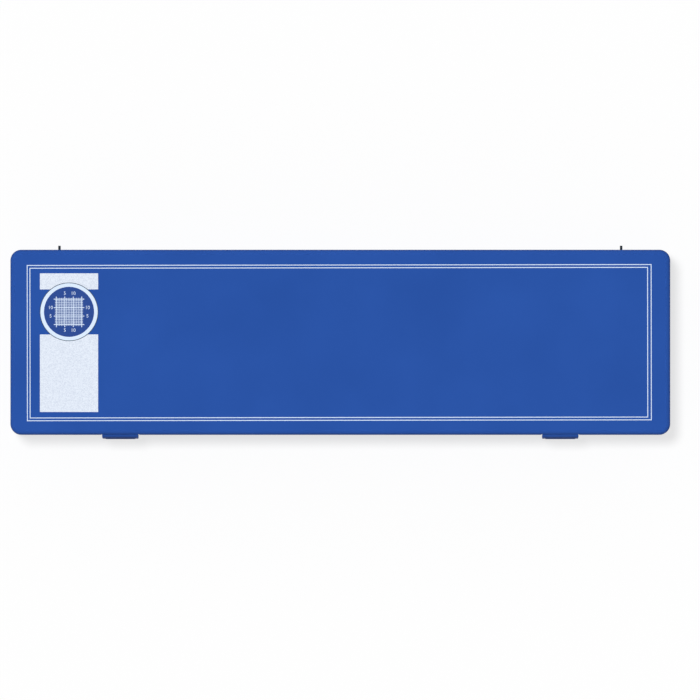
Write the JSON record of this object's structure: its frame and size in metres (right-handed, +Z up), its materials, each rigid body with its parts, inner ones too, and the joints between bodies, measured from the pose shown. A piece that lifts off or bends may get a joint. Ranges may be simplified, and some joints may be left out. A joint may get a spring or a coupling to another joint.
{
  "type": "instrument case",
  "caption": "Long flat hinged plastic case with snap latches and a die-cut foam nest for a micrometer and a caliper.",
  "frame": {"origin": "on the table, below the middle of the closed case", "axes": "+X along the case, -Y the latch side, +Y the hinge side, +Z up"},
  "size_m": [0.39, 0.1144, 0.0383],
  "materials": {
    "moulded_blue": "fine moulded texture, satin",
    "latch_blue": "smooth satin",
    "steel_wire": "dark drawn wire",
    "steel_pin": "bright drawn",
    "nest_foam": "closed-cell foam, matt",
    "pad_foam": "open-cell foam, matt",
    "label_film": "pale speckled film",
    "badge_film": "printed film"
  },
  "bodies": {
    "base": {"base_shell": "moulded_blue", "hinge_pin_left": "steel_wire", "hinge_pin_right": "steel_wire", "foam_floor_sheet": "nest_foam", "foam_lower_jaws": "nest_foam", "foam_lower_bin": "nest_foam", "foam_lower_cells": "nest_foam", "foam_lower_bow": "nest_foam", "foam_top_jaws": "nest_foam", "foam_top_bin": "nest_foam", "foam_top_cells": "nest_foam", "foam_top_bow": "nest_foam"},
    "lid": {"lid_shell": "moulded_blue", "lid_pad": "pad_foam", "latch_pin_left": "steel_pin", "latch_pin_right": "steel_pin", "label_upper": "label_film", "label_lower": "label_film", "badge": "badge_film"},
    "latch_left": {"latch_left": "latch_blue"},
    "latch_right": {"latch_right": "latch_blue"}
  },
  "joints": [
    {"name": "lid_hinge", "type": "hinge", "parent": "base", "child": "lid", "pos_m": [0, 0.05235, 0.024], "axis": [-1, 0, 0], "range_deg": [0, 104]},
    {"name": "latch_left_pivot", "type": "hinge", "parent": "lid", "child": "latch_left", "pos_m": [-0.13, -0.05295, 0.0322], "axis": [-1, 0, 0], "range_deg": [0, 95]},
    {"name": "latch_right_pivot", "type": "hinge", "parent": "lid", "child": "latch_right", "pos_m": [0.13, -0.05295, 0.0322], "axis": [-1, 0, 0], "range_deg": [0, 95]}
  ]
}
